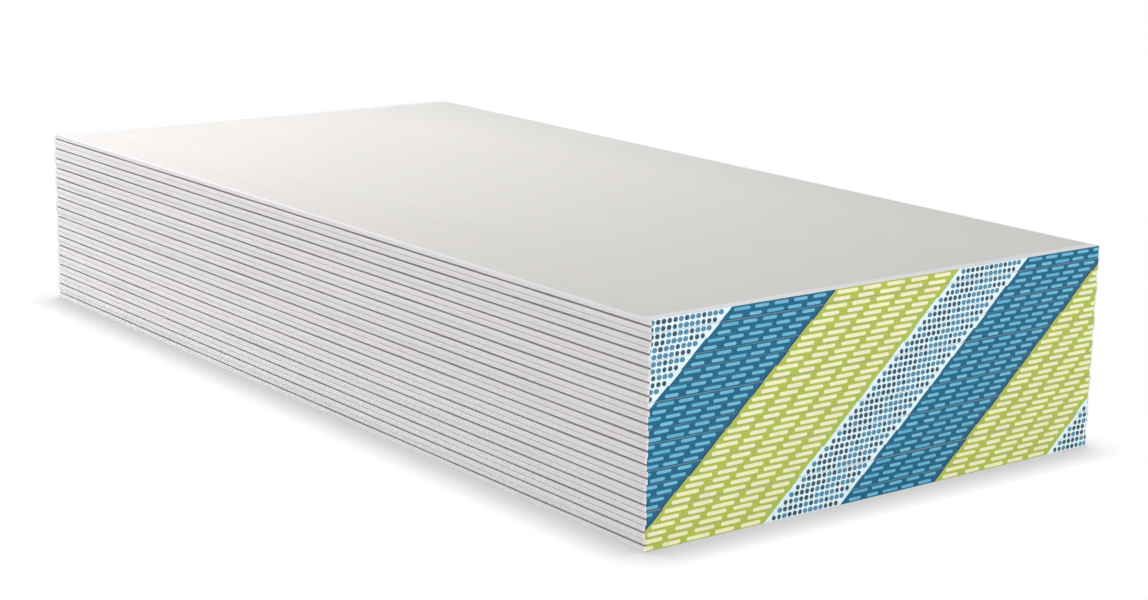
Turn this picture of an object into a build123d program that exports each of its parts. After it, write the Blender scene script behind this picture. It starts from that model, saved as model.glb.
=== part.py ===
from build123d import *
import os
from math import cos, radians, sin

# A level stack of drywall. The sheets lie in bundles of two, face to face, and a paper tape
# folded over each end of a bundle holds its two sheets together.
# Millimetres: +X across the sheets, +Y along them, +Z up from the middle of the underside.

# One sheet: half an inch thick, four feet wide and eight long
sheet_thickness = 12.7
sheet_width = 1219.2
sheet_length = 2438.4

# Its long edges: the face falls away towards them, and the face paper wraps round to the back
taper_width = 57.0
taper_depth = 1.8
wrap_radius = 1.2

# The tape on each end of a bundle, which stops short of the long edges
tape_thickness = 0.1
tape_lap = 25.0
tape_margin = 4.0

# The stack: each bundle lies out of line by the shift, in a direction that turns from one to the next
bundle_count = 17
bundle_shift = 1.2
shift_turn_degrees = 137.5

half_width = sheet_width / 2
half_length = sheet_length / 2
taper_start = half_width - taper_width
edge_thickness = sheet_thickness - taper_depth
pair_thickness = 2 * sheet_thickness
bundle_pitch = pair_thickness + 2 * tape_thickness
tape_length = sheet_width - 2 * tape_margin


# A sheet drawn on the plane of its cross-section, with the back on the plane's X axis and the face above
def make_sheet(section_plane, name):
    with BuildPart() as sheet:
        with BuildSketch(section_plane) as section:
            with BuildLine():
                Polyline(
                    (-half_width, 0),
                    (half_width, 0),
                    (half_width, edge_thickness),
                    (taper_start, sheet_thickness),
                    (-taper_start, sheet_thickness),
                    (-half_width, edge_thickness),
                    close=True,
                )
            make_face()
            columns = section.vertices().group_by(Axis.X)
            fillet(columns[0] + columns[-1], radius=wrap_radius)
        extrude(amount=half_length, both=True)
    sheet.part.label = name
    export_step(sheet.part, f"parts/{name}.step")


# The two tapes of a bundle, drawn on its lengthwise middle plane: a channel round one end, and its mirror image
def make_end_tapes(middle_plane, name):
    with BuildPart() as tapes:
        with BuildSketch(middle_plane):
            with Locations((-half_length - tape_thickness, 0)):
                Rectangle(tape_thickness + tape_lap, bundle_pitch, align=(Align.MIN, Align.MIN))
            with Locations((-half_length, tape_thickness)):
                Rectangle(tape_lap, pair_thickness, align=(Align.MIN, Align.MIN), mode=Mode.SUBTRACT)
            mirror(about=Plane.YZ)
        extrude(amount=tape_length / 2, both=True)
    tapes.part.label = name
    export_step(tapes.part, f"parts/{name}.step")


os.makedirs("parts", exist_ok=True)

for index in range(bundle_count):
    shift_turn = radians(index * shift_turn_degrees)
    across = bundle_shift * cos(shift_turn)
    along = bundle_shift * sin(shift_turn)
    underside = index * bundle_pitch
    lower_back = underside + tape_thickness
    upper_back = lower_back + pair_thickness
    bundle = f"bundle_{index + 1:02d}"

    lower_plane = Plane((across, along, lower_back), Plane.XZ.x_dir, Plane.XZ.z_dir)
    upper_plane = Plane((across, along, upper_back), Plane.XZ.x_dir, -Plane.XZ.z_dir)
    middle_plane = Plane((across, along, underside), Plane.YZ.x_dir, Plane.YZ.z_dir)
    make_sheet(lower_plane, f"{bundle}_lower_sheet")
    make_sheet(upper_plane, f"{bundle}_upper_sheet")
    make_end_tapes(middle_plane, f"{bundle}_end_tapes")
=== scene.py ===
import math
import bpy
import numpy as np
from mathutils import Matrix, Vector


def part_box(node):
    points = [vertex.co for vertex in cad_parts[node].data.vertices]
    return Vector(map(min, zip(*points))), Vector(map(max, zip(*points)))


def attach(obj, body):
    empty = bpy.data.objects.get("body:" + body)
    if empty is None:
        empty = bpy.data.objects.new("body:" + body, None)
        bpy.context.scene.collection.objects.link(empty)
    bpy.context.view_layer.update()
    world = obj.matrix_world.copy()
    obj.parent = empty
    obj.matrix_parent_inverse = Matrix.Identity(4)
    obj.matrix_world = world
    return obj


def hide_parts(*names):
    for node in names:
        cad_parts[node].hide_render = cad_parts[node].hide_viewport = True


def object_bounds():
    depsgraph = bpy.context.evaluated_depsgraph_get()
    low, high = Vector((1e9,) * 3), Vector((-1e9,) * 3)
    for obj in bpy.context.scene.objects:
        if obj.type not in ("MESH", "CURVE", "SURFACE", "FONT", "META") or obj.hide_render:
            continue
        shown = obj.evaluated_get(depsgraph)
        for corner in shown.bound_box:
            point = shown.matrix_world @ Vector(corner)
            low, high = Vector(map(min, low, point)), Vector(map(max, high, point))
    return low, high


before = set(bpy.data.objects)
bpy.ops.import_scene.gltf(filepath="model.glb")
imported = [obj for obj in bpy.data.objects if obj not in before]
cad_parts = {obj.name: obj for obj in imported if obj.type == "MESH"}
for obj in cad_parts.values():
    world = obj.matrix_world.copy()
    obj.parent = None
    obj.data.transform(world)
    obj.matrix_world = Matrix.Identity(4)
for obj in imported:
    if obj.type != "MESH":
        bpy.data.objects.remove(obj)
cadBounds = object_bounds()
bundles = sorted({name[: len("bundle_01")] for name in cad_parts})  # from the floor up
print("frame loaded:", len(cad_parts), "nodes in", len(bundles), "bundles")


# A smooth step from 0 to 1: three times the square less twice the cube
def easeStep(t):
    t = np.clip(t, 0.0, 1.0)
    return t * t * (3.0 - 2.0 * t)


waveMix = {"sines": 5, "spread": 2.5}


# A gentle wave along a line, mostly between -1 and 1: sines of random length and phase, added up and divided
# by the spread
def gentleWave(rng, along, shortest, longest):
    lengths = rng.uniform(shortest, longest, waveMix["sines"])
    phases = rng.uniform(0.0, 2.0 * math.pi, waveMix["sines"])
    return np.sin(along[:, None] / lengths * 2.0 * math.pi + phases).sum(axis=1) / waveMix["spread"]


# Quads over a grid of points, row by row, with the last column joined to the first
def loopQuads(rows, columns):
    index = np.arange(rows * columns).reshape(rows, columns)
    following = np.roll(index, -1, axis=1)
    quads = np.stack((index[:-1], following[:-1], following[1:], index[1:]), axis=-1)
    return quads.reshape(-1, 4)


# Puts points and faces into a mesh object at the origin, with a slot number for each face. Edges that turn by
# more than the sharp angle, in degrees, stay crisp.
def putMesh(name, points, faces, faceSlots, materials, sharpAngle=30.0):
    mesh = bpy.data.meshes.new(name)
    mesh.from_pydata(points.reshape(-1, 3).tolist(), [], faces)
    for material in materials:
        mesh.materials.append(material)
    mesh.polygons.foreach_set("material_index", np.asarray(faceSlots, dtype=np.int32))
    mesh.polygons.foreach_set("use_smooth", np.ones(len(faces), dtype=bool))
    mesh.set_sharp_from_angle(angle=math.radians(sharpAngle))
    mesh.update()
    piece = bpy.data.objects.new(name, mesh)
    bpy.context.collection.objects.link(piece)
    return piece


# Node helpers: an input takes a socket, which is linked, or a plain value
def setInput(tree, socket, value):
    if isinstance(value, bpy.types.NodeSocket):
        tree.links.new(value, socket)
    elif value is not None:
        socket.default_value = value


def calc(tree, operation, first, second=None):
    node = tree.nodes.new("ShaderNodeMath")
    node.operation = operation
    setInput(tree, node.inputs[0], first)
    setInput(tree, node.inputs[1], second)
    return node.outputs[0]


def remap(tree, value, fromLow, fromHigh, toLow, toHigh):
    node = tree.nodes.new("ShaderNodeMapRange")
    for socket, setting in zip(node.inputs, (value, fromLow, fromHigh, toLow, toHigh)):
        setInput(tree, socket, setting)
    return node.outputs[0]


def mixColour(tree, factor, first, second):
    node = tree.nodes.new("ShaderNodeMix")
    node.data_type = "RGBA"
    setInput(tree, node.inputs[0], factor)
    setInput(tree, node.inputs[6], first)  # inputs 6 and 7 and output 2 are the ones for colours
    setInput(tree, node.inputs[7], second)
    return node.outputs[2]


def scaleColour(tree, colour, factor):
    node = tree.nodes.new("ShaderNodeVectorMath")
    node.operation = "SCALE"
    setInput(tree, node.inputs[0], colour)
    setInput(tree, node.inputs["Scale"], factor)
    return node.outputs[0]


# Noise on coordinates stretched by a scale for each axis, in cycles a metre
def stretchedNoise(tree, coordinates, scales, detail):
    mapping = tree.nodes.new("ShaderNodeMapping")
    mapping.inputs["Scale"].default_value = scales
    tree.links.new(coordinates, mapping.inputs["Vector"])
    noise = tree.nodes.new("ShaderNodeTexNoise")
    noise.inputs["Scale"].default_value = 1.0
    noise.inputs["Detail"].default_value = detail
    tree.links.new(mapping.outputs[0], noise.inputs["Vector"])
    return noise.outputs[0]


usualNoise = (0.25, 0.75)  # range that a noise seldom leaves


# Spreads a noise evenly to both sides of a middle value
def spreadNoise(tree, noise, middle, spread, noiseRange=usualNoise):
    return remap(tree, noise, *noiseRange, middle - spread, middle + spread)


def newMaterial(name):
    material = bpy.data.materials.new(name)
    material.use_nodes = True
    tree = material.node_tree
    return material, tree, tree.nodes["Principled BSDF"]


def setGloss(tree, shader, rough, specular):
    tree.links.new(rough, shader.inputs["Roughness"])
    shader.inputs["Specular IOR Level"].default_value = specular


def addBump(tree, shader, height, distance):
    bump = tree.nodes.new("ShaderNodeBump")
    bump.inputs["Strength"].default_value = 1.0
    bump.inputs["Distance"].default_value = distance
    tree.links.new(height, bump.inputs["Height"])
    tree.links.new(bump.outputs[0], shader.inputs["Normal"])


# Board paper: two papers of one kind, a grey one on the back and a paler one on the face and long edges
backPaperLook = {
    "colour": (0.612, 0.595, 0.567),
    "cloud": 0.025,
    "streak": 0.018,
    "fibre": 0.06,
    "roughness": 0.68,
    "specular": 0.4,
    "bumpDepth": 0.00004,
}
facePaperLook = {
    "colour": (0.745, 0.716, 0.706),
    "cloud": 0.02,
    "streak": 0.015,
    "fibre": 0.04,
    "roughness": 0.60,
    "specular": 0.4,
    "bumpDepth": 0.00003,
}
paperGrain = {  # noise scales across, along and up, and detail
    "cloud": ((3.0, 1.6, 3.0), 3.0),
    "streak": ((70.0, 0.7, 70.0), 2.0),
    "fibre": ((1500.0, 420.0, 1500.0), 2.0),
    "roughSpread": 0.05,
}


# Colour is the paper's own, times clouds, machine streaks along the board, fibres and the sheet's own tone
def makePaper(name, look):
    material, tree, shader = newMaterial(name)
    place = tree.nodes.new("ShaderNodeTexCoord").outputs["Object"]
    tone = tree.nodes.new("ShaderNodeAttribute")
    tone.attribute_name = "paperTone"
    shade = tone.outputs["Fac"]
    patterns = {}
    for pattern in ("cloud", "streak", "fibre"):
        patterns[pattern] = stretchedNoise(tree, place, *paperGrain[pattern])
        shade = calc(tree, "MULTIPLY", shade, spreadNoise(tree, patterns[pattern], 1.0, look[pattern]))
    tree.links.new(scaleColour(tree, look["colour"], shade), shader.inputs["Base Color"])
    rough = spreadNoise(tree, patterns["cloud"], look["roughness"], paperGrain["roughSpread"])
    setGloss(tree, shader, rough, look["specular"])
    addBump(tree, shader, patterns["fibre"], look["bumpDepth"])
    return material


# Gypsum core, on the sawn ends: chalky white with pores and saw marks across the thickness; the pores and saw
# marks are painted darker, as painted shade in their pits
gypsumLook = {
    "colour": (0.80, 0.79, 0.765, 1.0),
    "poreShadeColour": (0.60, 0.585, 0.56, 1.0),
    "grain": ((700.0, 700.0, 700.0), 3.0),
    "grainRange": (0.3, 0.7),
    "saw": ((900.0, 40.0, 60.0), 1.0),
    "sawShare": 0.3,  # of the saw marks, in what makes a painted pore shade
    "poreShadeRange": (0.68, 0.84),
    "roughness": 0.9,
    "roughSpread": 0.06,
    "specular": 0.2,
    "bumpDepth": 0.0002,
}


def makeGypsum():
    material, tree, shader = newMaterial("gypsumCore")
    place = tree.nodes.new("ShaderNodeTexCoord").outputs["Object"]
    grain = stretchedNoise(tree, place, *gypsumLook["grain"])
    saw = stretchedNoise(tree, place, *gypsumLook["saw"])
    pitted = calc(tree, "ADD", grain, calc(tree, "MULTIPLY", saw, gypsumLook["sawShare"]))
    # Painted shade: pores and saw marks are darkened in colour, as shade in their pits
    poreShade = remap(tree, pitted, *gypsumLook["poreShadeRange"], 0.0, 1.0)
    colour = mixColour(tree, poreShade, gypsumLook["colour"], gypsumLook["poreShadeColour"])
    tree.links.new(colour, shader.inputs["Base Color"])
    roughness, roughSpread = gypsumLook["roughness"], gypsumLook["roughSpread"]
    rough = spreadNoise(tree, grain, roughness, roughSpread, gypsumLook["grainRange"])
    setGloss(tree, shader, rough, gypsumLook["specular"])
    addBump(tree, shader, grain, gypsumLook["bumpDepth"])
    return material


# Tape print: slanting bands of white, blue and lime, each with rows of plain round-ended bars along the tape
tapePrint = {
    "lean": 41.0,  # degrees of a band from level
    "whiteBand": 0.200,
    "blueBand": 0.260,
    "limeBand": 0.340,
    "start": -0.916,  # where a blue band starts, on the tape's own length
    "pinstripe": 0.006,
    "paper": (0.83, 0.87, 0.88, 1.0),
    "bareLap": (0.69, 0.70, 0.70, 1.0),
    "white": (0.74, 0.885, 0.93, 1.0),
    "blue": (0.004, 0.118, 0.215, 1.0),
    "lime": (0.418, 0.503, 0.075, 1.0),
    "navy": (0.020, 0.050, 0.160, 1.0),
    "foldWear": 0.0010,  # how far from a fold the ink is rubbed pale
    "wearShares": (0.3, 1.3),  # of that distance, between which the rubbing fades
    "foldFade": 0.35,
    "printedLap": 0.0005,  # how far the print goes past a fold
    "inkEdge": 0.0003,
    "grain": ((900.0, 900.0, 900.0), 2.0),
    "smudge": ((18.0, 18.0, 18.0), 3.0),
    "wrinkle": ((26.0, 26.0, 80.0), 3.0),
    "blotch": 0.06,
    "blotchRange": (0.6, 1.4),  # usual range of grain and smudge together
    "roughness": 0.55,
    "roughSpread": 0.07,
    "specular": 0.25,
    "grainDepth": 0.00005,
    "wrinkleDepth": 0.00018,
}
slantRun = 1.0 / math.tan(math.radians(tapePrint["lean"]))  # run of a band for each metre that it rises

# Bars of each band: so many in a row, kept off the band's edges by the margin, in rows at these heights from
# the tape's middle. Each bar is in one of two inks or, unless split, between them.
blueBars = {
    "rows": (-0.0064, 0.0064),
    "count": 5,
    "margin": 0.008,
    "lengths": (0.030, 0.043),
    "height": 0.0062,
    "inks": ((0.095, 0.395, 0.590, 1.0), (0.170, 0.490, 0.670, 1.0)),
    "split": False,
}
limeBars = {
    "rows": (-0.0064, 0.0064),
    "count": 5,
    "margin": 0.008,
    "lengths": (0.042, 0.058),
    "height": 0.0073,
    "inks": ((0.850, 0.860, 0.500, 1.0), (0.870, 0.800, 0.580, 1.0)),
    "split": False,
}
whiteBars = {
    "rows": (-0.0064, 0.0064),
    "count": 13,
    "margin": 0.012,
    "lengths": (0.0095, 0.0128),
    "height": 0.0096,
    "inks": ((0.080, 0.240, 0.360, 1.0), (0.035, 0.075, 0.110, 1.0)),
    "split": True,
}


# A row of bars with round ends, of random lengths: 1 within half the height of a bar's middle line, 0 past
# that. Also gives a random number for each bar.
def barRow(tree, along, across, number, pitch, bars):
    height = bars["height"]
    cell = calc(tree, "DIVIDE", along, pitch)
    random = tree.nodes.new("ShaderNodeTexWhiteNoise")
    random.noise_dimensions = "2D"
    key = tree.nodes.new("ShaderNodeCombineXYZ")
    tree.links.new(calc(tree, "FLOOR", cell), key.inputs[0])
    key.inputs[1].default_value = number
    tree.links.new(key.outputs[0], random.inputs["Vector"])
    chance = random.outputs["Value"]
    shortest, longest = bars["lengths"]
    halfStraight = remap(tree, chance, 0.0, 1.0, (longest - height) / 2, (shortest - height) / 2)
    fromMiddle = calc(tree, "ABSOLUTE", calc(tree, "SUBTRACT", calc(tree, "FRACT", cell), 0.5))
    pastStraight = calc(tree, "SUBTRACT", calc(tree, "MULTIPLY", fromMiddle, pitch), halfStraight)
    endSquare = calc(tree, "POWER", calc(tree, "MAXIMUM", pastStraight, 0.0), 2.0)
    distance = calc(tree, "SQRT", calc(tree, "ADD", endSquare, calc(tree, "POWER", across, 2.0)))
    edge = tapePrint["inkEdge"]
    return remap(tree, distance, height / 2 - edge, height / 2 + edge, 1.0, 0.0), chance


# A band's cover: 1 where the place in the repeat lies between two limits
def bandCover(tree, place, low, high):
    above = calc(tree, "GREATER_THAN", place, low)
    return calc(tree, "MULTIPLY", above, calc(tree, "LESS_THAN", place, high))


# Place in the repeat of bands, in metres from the start of a blue one
def placeInRepeat(tree, onRoll, offset):
    repeat = tapePrint["whiteBand"] + tapePrint["blueBand"] + tapePrint["limeBand"]
    turns = calc(tree, "DIVIDE", calc(tree, "SUBTRACT", onRoll, offset), repeat)
    return calc(tree, "MULTIPLY", calc(tree, "FRACT", turns), repeat)


# Lays a band's rows of bars over a colour. A row is measured from the band's slanting edge at the row's own
# height, so the rows step along with the slant and no bar is cut.
def inkBars(tree, colour, onRoll, across, bandStart, bandWidth, bars):
    run = bandWidth - 2 * bars["margin"]
    for number, level in enumerate(bars["rows"]):
        inRow = placeInRepeat(tree, onRoll, level * slantRun + bandStart + bars["margin"])
        fromRow = calc(tree, "SUBTRACT", across, level)
        mask, chance = barRow(tree, inRow, fromRow, number, run / bars["count"], bars)
        blend = calc(tree, "GREATER_THAN", chance, 0.5) if bars["split"] else chance
        ink = mixColour(tree, blend, *bars["inks"])
        inside = calc(tree, "MULTIPLY", mask, calc(tree, "LESS_THAN", inRow, run))
        colour = mixColour(tree, inside, colour, ink)
    return colour


# Printed paper, on the tape's own UV map: its length along the roll, and across it the unfolded distance from
# the middle
def makeTapePaper(foldHeight):
    material, tree, shader = newMaterial("printedTape")
    uvNode = tree.nodes.new("ShaderNodeUVMap")
    uvNode.uv_map = "tapeRoll"
    parts = tree.nodes.new("ShaderNodeSeparateXYZ")
    tree.links.new(uvNode.outputs[0], parts.inputs[0])
    along, across = parts.outputs[0], parts.outputs[1]
    place = tree.nodes.new("ShaderNodeTexCoord").outputs["Object"]
    grain, smudge, wrinkle = (
        stretchedNoise(tree, place, *tapePrint[pattern]) for pattern in ("grain", "smudge", "wrinkle")
    )

    # Bands, told apart by the place in their repeat where the slant through a point meets the tape's middle
    onRoll = calc(tree, "SUBTRACT", along, tapePrint["start"])
    inRepeat = placeInRepeat(tree, onRoll, calc(tree, "MULTIPLY", across, slantRun))
    blueEnd = tapePrint["blueBand"]
    limeEnd = blueEnd + tapePrint["limeBand"]
    inBlue = bandCover(tree, inRepeat, 0.0, blueEnd)
    inLime = bandCover(tree, inRepeat, blueEnd, limeEnd)
    colour = mixColour(tree, inBlue, tapePrint["white"], tapePrint["blue"])
    colour = mixColour(tree, inLime, colour, tapePrint["lime"])
    colour = inkBars(tree, colour, onRoll, across, 0.0, tapePrint["blueBand"], blueBars)
    colour = inkBars(tree, colour, onRoll, across, blueEnd, tapePrint["limeBand"], limeBars)
    colour = inkBars(tree, colour, onRoll, across, limeEnd, tapePrint["whiteBand"], whiteBars)
    halfStripe = tapePrint["pinstripe"] / 2
    pinstripe = bandCover(tree, inRepeat, blueEnd - halfStripe, blueEnd + halfStripe)
    colour = mixColour(tree, pinstripe, colour, tapePrint["navy"])

    # Ink is rubbed pale at the folds. The laps are bare paper, with the board showing through a little.
    height = calc(tree, "ABSOLUTE", across)
    fromFold = calc(tree, "ABSOLUTE", calc(tree, "SUBTRACT", height, foldHeight))
    rubbed = calc(tree, "ADD", fromFold, calc(tree, "MULTIPLY", smudge, tapePrint["foldWear"]))
    wearStart, wearEnd = (share * tapePrint["foldWear"] for share in tapePrint["wearShares"])
    worn = remap(tree, rubbed, wearStart, wearEnd, tapePrint["foldFade"], 0.0)
    colour = mixColour(tree, worn, colour, tapePrint["paper"])
    bare = calc(tree, "GREATER_THAN", height, foldHeight + tapePrint["printedLap"])
    colour = mixColour(tree, bare, colour, tapePrint["bareLap"])
    blotches = calc(tree, "ADD", grain, smudge)
    shade = spreadNoise(tree, blotches, 1.0, tapePrint["blotch"], tapePrint["blotchRange"])
    tree.links.new(scaleColour(tree, colour, shade), shader.inputs["Base Color"])
    rough = spreadNoise(tree, smudge, tapePrint["roughness"], tapePrint["roughSpread"])
    setGloss(tree, shader, rough, tapePrint["specular"])
    fine = calc(tree, "MULTIPLY", grain, tapePrint["grainDepth"])
    relief = calc(tree, "ADD", fine, calc(tree, "MULTIPLY", wrinkle, tapePrint["wrinkleDepth"]))
    addBump(tree, shader, relief, 1.0)
    return material


# Boards, in metres; the taper and the back's corners are those of the solid
boardShape = {
    "taperWidth": 0.057,
    "taperDepth": 0.0018,
    "backRadius": 0.0012,
    "faceRadius": 0.0020,
    "foldedMargin": 0.0045,  # face paper that shows on the back, along a long edge
    "paperStep": 0.00025,  # edge of the back paper, where it lies on the folded margin
    "stepWidth": 0.0004,
    "endRounding": 0.0012,
    "edgeBulge": 0.00015,
    "edgeWander": 0.0003,
    "edgeWaves": (0.25, 1.6),  # shortest and longest
    "taperWander": 0.0003,
    "taperWaves": (0.2, 1.2),
    "wanderShares": (0.3, 0.8),  # of the thickness, between which the taper's waves come in
    "cornerPoints": 6,
    "edgePoints": 5,
    "taperPoints": 10,
    "endPoints": 5,
    "stations": 49,
    "sharpAngle": 35.0,
    "tone": 0.012,
    "seed": 41,
}
backSlot, faceSlot, coreSlot = 0, 1, 2  # of a board's materials


# Half the section of a board, from the middle of its back out round the long edge to the middle of its face:
# flat back, a step down to the folded margin, a round corner, a slightly bulged edge, a round corner, and a
# taper that eases up to the flat face. Also gives a slot number for the stretch after each point.
def halfSection(halfWidth, thickness):
    radius, faceRadius, step = (boardShape[part] for part in ("backRadius", "faceRadius", "paperStep"))
    edgeTop = thickness - boardShape["taperDepth"]
    marginStart = halfWidth - boardShape["foldedMargin"]
    halfway = 0.5 * halfWidth
    turn = np.linspace(0.0, math.pi / 2, boardShape["cornerPoints"])
    rise = np.linspace(0.0, 1.0, boardShape["edgePoints"])[1:-1]
    run = np.linspace(0.0, 1.0, boardShape["taperPoints"])[1:]

    backAcross = np.array([0.0, halfway, marginStart - boardShape["stepWidth"], marginStart])
    backHeight = np.array([0.0, 0.0, 0.0, step])
    backTurnAcross = halfWidth - radius + radius * np.sin(turn)
    backTurnHeight = step + radius - radius * np.cos(turn)
    edgeAcross = halfWidth + boardShape["edgeBulge"] * np.sin(rise * math.pi)
    edgeHeight = step + radius + rise * (edgeTop - step - radius - faceRadius)
    faceTurnAcross = halfWidth - faceRadius + faceRadius * np.cos(turn)
    faceTurnHeight = edgeTop - faceRadius + faceRadius * np.sin(turn)
    taperAcross = halfWidth - faceRadius - run * (boardShape["taperWidth"] - faceRadius)
    taperHeight = edgeTop + boardShape["taperDepth"] * easeStep(run)
    acrossParts = (backAcross, backTurnAcross, edgeAcross, faceTurnAcross, taperAcross, [halfway])
    heightParts = (backHeight, backTurnHeight, edgeHeight, faceTurnHeight, taperHeight, [thickness])
    across, height = np.concatenate(acrossParts), np.concatenate(heightParts)
    slots = np.full(len(across), faceSlot)
    slots[:2] = backSlot  # up to the step
    return across, height, slots


# A board: the section is carried along its length. Each long edge wanders in and out and the taper deepens
# and eases in gentle waves, which fade out towards the middle of the board, and the section shrinks over the
# last millimetre, so that the sawn ends have slightly crushed edges.
def makeBoard(name, node, facesUp, rng, materials):
    low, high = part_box(node)
    middle = (low + high) / 2
    halfWidth, halfLength = (high.x - low.x) / 2, (high.y - low.y) / 2
    thickness = high.z - low.z
    across, height, slots = halfSection(halfWidth, thickness)
    across = np.concatenate((across, [0.0], -across[:0:-1]))
    height = np.concatenate((height, [thickness], height[:0:-1]))
    slots = np.concatenate((slots, slots[::-1]))[: len(across)]

    rounding = boardShape["endRounding"]
    curl = rounding * (1.0 - np.cos(np.linspace(0.0, math.pi / 2, boardShape["endPoints"])))
    inner = np.linspace(-halfLength, halfLength, boardShape["stations"])[1:-1]
    along = np.concatenate((-halfLength + curl, inner, halfLength - curl[::-1]))
    fromEnd = np.minimum(halfLength - np.abs(along), rounding)
    shrink = rounding - np.sqrt(np.maximum(rounding**2 - (rounding - fromEnd) ** 2, 0.0))

    nearEdge = easeStep(1.0 - (halfWidth - np.abs(across)) / boardShape["taperWidth"])
    leftWave = boardShape["edgeWander"] * gentleWave(rng, along, *boardShape["edgeWaves"])
    rightWave = boardShape["edgeWander"] * gentleWave(rng, along, *boardShape["edgeWaves"])
    taperWave = boardShape["taperWander"] * gentleWave(rng, along, *boardShape["taperWaves"])
    sideWave = np.where(across[None, :] > 0.0, rightWave[:, None], leftWave[:, None])
    wanderStart, wanderEnd = boardShape["wanderShares"]
    onFace = easeStep((height / thickness - wanderStart) / (wanderEnd - wanderStart))

    x = across[None, :] * (1.0 - shrink / halfWidth)[:, None] + nearEdge * sideWave
    h = height[None, :] + nearEdge * onFace * taperWave[:, None]
    h = shrink[:, None] + h * (1.0 - 2.0 * shrink / thickness)[:, None]
    z = low.z + h if facesUp else high.z - h
    y = np.broadcast_to(along[:, None], x.shape)
    points = np.stack((middle.x + x, middle.y + y, z), axis=-1)
    if facesUp:
        points = points[::-1]  # so that faces point outwards

    rows, columns = x.shape
    firstCap = list(range(columns))[::-1]
    lastCap = list(range((rows - 1) * columns, rows * columns))
    faces = loopQuads(rows, columns).tolist() + [firstCap, lastCap]
    faceSlots = np.concatenate((np.tile(slots, rows - 1), [coreSlot, coreSlot]))
    piece = putMesh(name, points, faces, faceSlots, materials, boardShape["sharpAngle"])
    tone = piece.data.attributes.new("paperTone", "FLOAT", "FACE")
    tone.data.foreach_set("value", np.full(len(faces), 1.0 + boardShape["tone"] * rng.uniform(-1.0, 1.0)))
    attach(piece, "root")
    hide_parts(node)


# End tapes of a bundle: strips of paper folded round its two ends
tapeShape = {
    "thickness": 0.0001,
    "lap": 0.025,
    "foldRounding": 0.0012,  # inside of a fold, as the boards' end edges
    "seamDent": 0.00022,  # over the joint between the two boards
    "seamWidth": 0.0011,  # each side of the joint, where the boards' end edges are round
    "seamChange": 0.2,  # share by which the dent deepens and eases
    "seamWaves": (0.12, 0.6),  # shortest and longest
    "ripple": 0.00012,
    "rippleWaves": (0.05, 0.4),
    "raggedEdge": 0.0005,
    "raggedWaves": (0.03, 0.3),
    "raggedShare": 0.4,  # of a lap, next to its free edge
    "turnPoints": 6,
    "lapPoints": 4,
    "flatShares": (0.85, 0.55, 0.3),  # of half the flat, where its points are
    "seamShares": (1.5, 1.0, 0.75, 0.5, 0.25),  # of the seam's width, likewise
    "stations": 81,
    "sharpAngle": 40.0,
    "rollShift": 0.003,
    "seed": 7,
}


# Section of a tape round one end, seen from the side, from the free edge of the upper lap down to that of the
# lower one: a straight lap, a quarter turn, the flat over the boards' ends, a quarter turn and a lap.
# Gives reach from the end outwards, height from the middle, and the unfolded distance from the middle.
def tapeSection(halfHeight, lap, radius):
    lapPoints = tapeShape["lapPoints"]
    turn = np.linspace(0.0, math.pi / 2, tapeShape["turnPoints"])
    lapRun = np.linspace(1.0, 0.0, lapPoints, endpoint=False)
    flat = halfHeight - radius
    lapReach = -radius - lapRun * (lap - radius)
    turnReach = -radius + radius * np.sin(turn)
    turnHeight = flat + radius * np.cos(turn)
    seamHeight = tapeShape["seamWidth"] * np.array(tapeShape["seamShares"])
    flatHeight = np.concatenate((flat * np.array(tapeShape["flatShares"]), seamHeight))
    reach = np.concatenate((lapReach, turnReach, np.zeros(len(flatHeight))))
    height = np.concatenate((np.full(lapPoints, halfHeight), turnHeight, flatHeight))
    reach = np.concatenate((reach, [0.0], reach[::-1]))
    height = np.concatenate((height, [0.0], -height[::-1]))
    steps = np.hypot(np.diff(reach), np.diff(height))
    unfolded = np.concatenate(([0.0], np.cumsum(steps)))
    return reach, height, unfolded[-1] / 2 - unfolded


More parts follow.
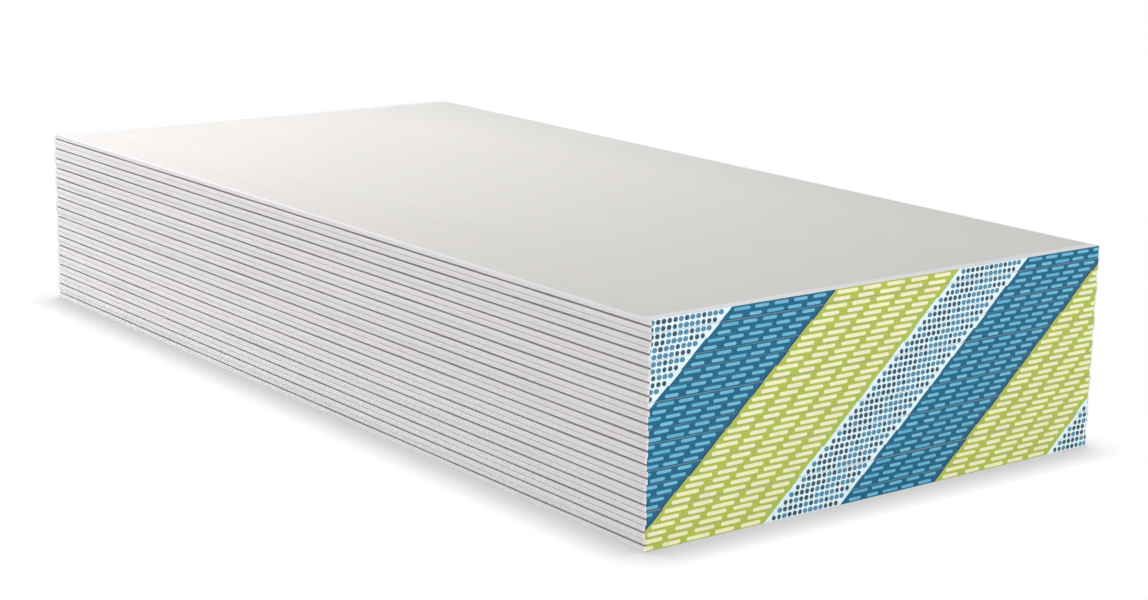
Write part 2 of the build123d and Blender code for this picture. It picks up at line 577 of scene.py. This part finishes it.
# Two tapes in one mesh. The outside and inside of the paper are the section at two distances from the boards,
# carried across the end; the flat is dented along the boards' joint and ripples slightly, and a lap's free
# edge is a little ragged. The roll's own lengthwise place and the unfolded width go into a UV map.
def makeEndTapes(name, bundleIndex, nodes, rng, material):
    tapeLow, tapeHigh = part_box(nodes["tapes"])
    boardLow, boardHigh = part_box(nodes["lower"])
    thickness, inside, lap = (tapeShape[part] for part in ("thickness", "foldRounding", "lap"))
    straightLap = (1.0 - tapeShape["raggedShare"]) * lap
    pitch = tapeHigh.z - tapeLow.z
    halfHeight = pitch / 2
    halfLength = (tapeHigh.x - tapeLow.x) / 2
    middleX, middleZ = (tapeLow.x + tapeHigh.x) / 2, (tapeLow.z + tapeHigh.z) / 2
    outer = tapeSection(halfHeight, lap + thickness, inside + thickness)
    inner = tapeSection(halfHeight - thickness, lap, inside)

    allPoints, allFaces, allRolls = [], [], []
    across = np.linspace(-halfLength, halfLength, tapeShape["stations"])
    for outward, endY in ((-1.0, boardLow.y), (1.0, boardHigh.y)):
        seam = 1.0 + tapeShape["seamChange"] * gentleWave(rng, across, *tapeShape["seamWaves"])
        ripple = gentleWave(rng, across, *tapeShape["rippleWaves"])
        ragged = gentleWave(rng, across, *tapeShape["raggedWaves"])
        roll = rng.uniform(-1.0, 1.0) * tapeShape["rollShift"]
        layers = []
        for (reach, height), stand in ((outer[:2], thickness), (inner[:2], 0.0)):
            onFlat = easeStep((reach + inside) / inside)
            dent = tapeShape["seamDent"] * (1.0 - easeStep(np.abs(height) / tapeShape["seamWidth"]))
            swell = np.sin(np.clip(np.abs(height) / halfHeight, 0.0, 1.0) * math.pi) ** 2
            onEdge = easeStep((-reach - straightLap) / (lap - straightLap))
            out = reach[None, :] + stand - onFlat * dent * seam[:, None]
            out = out + onFlat * swell * tapeShape["ripple"] * np.maximum(1.0 + ripple[:, None], 0.0)
            out = out - onEdge * tapeShape["raggedEdge"] * ragged[:, None]
            x = np.broadcast_to(across[:, None], out.shape)
            z = np.broadcast_to(height[None, :], out.shape)
            layers.append(np.stack((middleX + x, endY + outward * out, middleZ + z), axis=-1))
        loop = np.concatenate((layers[0], layers[1][:, ::-1]), axis=1)
        if outward > 0.0:
            loop = loop[::-1]  # so that faces point outwards
        rows, columns = loop.shape[:2]
        width = columns // 2
        strip = np.arange(width - 1)
        opposite = columns - 1 - strip
        firstCap = np.stack((strip + 1, strip, opposite, opposite - 1), axis=-1)
        lastCap = firstCap[:, ::-1] + (rows - 1) * columns
        faces = np.concatenate((loopQuads(rows, columns), firstCap, lastCap))
        offset = sum(len(points) for points in allPoints)
        allFaces.append(faces + offset)
        allPoints.append(loop.reshape(-1, 3))
        along = -outward * loop[:, :, 0] + roll - (bundleIndex + 0.5) * pitch * slantRun
        unfold = np.concatenate((outer[2], np.full(width, halfHeight + lap / 2)))  # inside, past the print
        allRolls.append(np.stack((along, np.broadcast_to(unfold, along.shape)), axis=-1).reshape(-1, 2))

    points, faces, rolls = (np.concatenate(part) for part in (allPoints, allFaces, allRolls))
    piece = putMesh(name, points, faces.tolist(), np.zeros(len(faces)), [material], tapeShape["sharpAngle"])
    uvLayer = piece.data.uv_layers.new(name="tapeRoll")
    uvLayer.data.foreach_set("uv", rolls[faces.ravel()].astype(np.float32).ravel())
    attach(piece, "root")
    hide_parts(nodes["tapes"])


tapeLow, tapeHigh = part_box(bundles[0] + "_end_tapes")
boardMaterials = [makePaper("backPaper", backPaperLook), makePaper("facePaper", facePaperLook), makeGypsum()]
tapeMaterial = makeTapePaper((tapeHigh.z - tapeLow.z) / 2)
print("materials made:", len(boardMaterials) + 1)

boardRng = np.random.default_rng(boardShape["seed"])
tapeRng = np.random.default_rng(tapeShape["seed"])
for bundleIndex, bundle in enumerate(bundles):
    nodes = {
        "lower": bundle + "_lower_sheet",
        "upper": bundle + "_upper_sheet",
        "tapes": bundle + "_end_tapes",
    }
    makeBoard(bundle + "_lower_board", nodes["lower"], True, boardRng, boardMaterials)
    makeBoard(bundle + "_upper_board", nodes["upper"], False, boardRng, boardMaterials)
    makeEndTapes(bundle + "_printed_tapes", bundleIndex, nodes, tapeRng, tapeMaterial)
print("boards and tapes made:", 3 * len(bundles), "pieces")


# Floor: pale and plain. To the camera it glows white, with a painted shadow: the glow is dimmed close to what
# stands on it, by ambient occlusion leaned towards this direction, so the painted shadow lies mostly on the
# side away from it, as under a broad soft light from there
floorLook = {
    "halfSize": 30.0,
    "colour": (0.88, 0.90, 0.94, 1.0),
    # Direction that the painted shadow's occlusion leans towards
    "paintedShadowLean": (0.29, 0.43, 0.86),
    "shadowReach": 0.096,
    "shadowLevel": 0.59,
    "deepest": 0.40,  # openness at which the shadow is darkest
    "samples": 8,
}


# 1 for rays straight from the camera, or seen in a reflection or through glass
def seenRay(tree):
    path = tree.nodes.new("ShaderNodeLightPath")
    seen = calc(tree, "MAXIMUM", path.outputs["Is Camera Ray"], path.outputs["Is Glossy Ray"])
    return calc(tree, "MAXIMUM", seen, path.outputs["Is Transmission Ray"])


def makeFloor():
    material = bpy.data.materials.new("studioFloor")
    material.use_nodes = True
    tree = material.node_tree
    tree.nodes.clear()
    diffuse = tree.nodes.new("ShaderNodeBsdfDiffuse")
    diffuse.inputs["Color"].default_value = floorLook["colour"]
    shadow = tree.nodes.new("ShaderNodeAmbientOcclusion")
    shadow.samples = floorLook["samples"]
    shadow.inputs["Distance"].default_value = floorLook["shadowReach"]
    paintedShadowLean = tree.nodes.new("ShaderNodeCombineXYZ")
    for socket, part in zip(paintedShadowLean.inputs, Vector(floorLook["paintedShadowLean"]).normalized()):
        socket.default_value = part
    tree.links.new(paintedShadowLean.outputs[0], shadow.inputs["Normal"])
    white = tree.nodes.new("ShaderNodeEmission")
    # Painted shadow: the white glow is dimmed where the leaned occlusion finds something near
    openness = remap(tree, shadow.outputs["AO"], floorLook["deepest"], 1.0, floorLook["shadowLevel"], 1.0)
    tree.links.new(openness, white.inputs["Strength"])
    either = tree.nodes.new("ShaderNodeMixShader")
    output = tree.nodes.new("ShaderNodeOutputMaterial")
    tree.links.new(seenRay(tree), either.inputs[0])
    tree.links.new(diffuse.outputs[0], either.inputs[1])
    tree.links.new(white.outputs[0], either.inputs[2])
    tree.links.new(either.outputs[0], output.inputs["Surface"])
    size = floorLook["halfSize"]
    corners = np.array([(-size, -size, 0.0), (size, -size, 0.0), (size, size, 0.0), (-size, size, 0.0)])
    floor = putMesh("floor", corners, [[0, 1, 2, 3]], [0], [material])


# Light: an even white room, a broad lamp high at the far left and one above that corner, a weak one at the
# back right, and three low ones, towards the two long sides and the front end
coolTint, whiteTint = (0.96, 0.96, 1.0), (1.0, 1.0, 1.0)
lighting = {
    "room": 0.50,
    "lamps": (
        {"name": "farLeftLamp", "place": (-2.6, 4.4, 3.9), "size": 2.6, "power": 137.0, "tint": coolTint},
        {"name": "cornerLamp", "place": (-0.8, 1.6, 2.6), "size": 1.4, "power": 37.5, "tint": coolTint},
        {"name": "backRightLamp", "place": (3.2, 3.4, 3.6), "size": 2.6, "power": 34.5, "tint": coolTint},
        {"name": "rightLamp", "place": (4.6, -0.3, 0.9), "size": 2.0, "power": 30.0, "tint": whiteTint},
        {"name": "sideLamp", "place": (-4.5, -3.5, 0.7), "size": 2.0, "power": 42.0, "tint": whiteTint},
        {"name": "endLamp", "place": (0.5, -6.0, 0.9), "size": 3.0, "power": 122.0, "tint": whiteTint},
    ),
}


def lightRoom():
    world = bpy.data.worlds.new("studioRoom")
    bpy.context.scene.world = world
    world.use_nodes = True
    tree = world.node_tree
    background = tree.nodes["Background"]
    background.inputs["Color"].default_value = (1.0, 1.0, 1.0, 1.0)
    tree.links.new(remap(tree, seenRay(tree), 0.0, 1.0, lighting["room"], 1.0), background.inputs["Strength"])
    target = (cadBounds[0] + cadBounds[1]) / 2
    for lamp in lighting["lamps"]:
        data = bpy.data.lights.new(lamp["name"], "AREA")
        data.size = lamp["size"]
        data.energy = lamp["power"]
        data.color = lamp["tint"]
        light = bpy.data.objects.new(lamp["name"], data)
        light.location = lamp["place"]
        light.rotation_mode = "QUATERNION"
        light.rotation_quaternion = (target - Vector(lamp["place"])).to_track_quat("-Z", "Y")
        bpy.context.collection.objects.link(light)


# Camera: worked out from the stack's edges and the joints between its boards in the photograph, which is 1148
# pixels wide
cameraView = {
    "eye": (-3.1292, -4.2486, 1.3871),
    "yaw": 37.783,
    "pitch": -13.117,
    "roll": 1.178,
    "focalPixels": 2283.4,
    "imageWidth": 1148.0,
    "sensorWidth": 36.0,
    "clipEnd": 200.0,
}


# Axes from the angles: forward by yaw and pitch, right level and square to it, up square to both, then rolled
def placeCamera():
    yaw, pitch, roll = (math.radians(cameraView[turn]) for turn in ("yaw", "pitch", "roll"))
    forward = Vector((math.sin(yaw) * math.cos(pitch), math.cos(yaw) * math.cos(pitch), math.sin(pitch)))
    level = forward.cross(Vector((0.0, 0.0, 1.0))).normalized()
    upright = level.cross(forward)
    right = level * math.cos(roll) + upright * math.sin(roll)
    up = upright * math.cos(roll) - level * math.sin(roll)
    data = bpy.data.cameras.new("photoCamera")
    data.sensor_fit = "HORIZONTAL"
    data.sensor_width = cameraView["sensorWidth"]
    data.lens = cameraView["focalPixels"] / cameraView["imageWidth"] * cameraView["sensorWidth"]
    data.clip_end = cameraView["clipEnd"]
    camera = bpy.data.objects.new("photoCamera", data)
    axes = Matrix((right, up, -forward)).transposed().to_4x4()
    camera.matrix_world = Matrix.Translation(cameraView["eye"]) @ axes
    bpy.context.collection.objects.link(camera)
    bpy.context.scene.camera = camera


makeFloor()
lightRoom()
placeCamera()
bpy.context.scene.view_settings.view_transform = "Standard"
print("floor, lamps and camera placed")
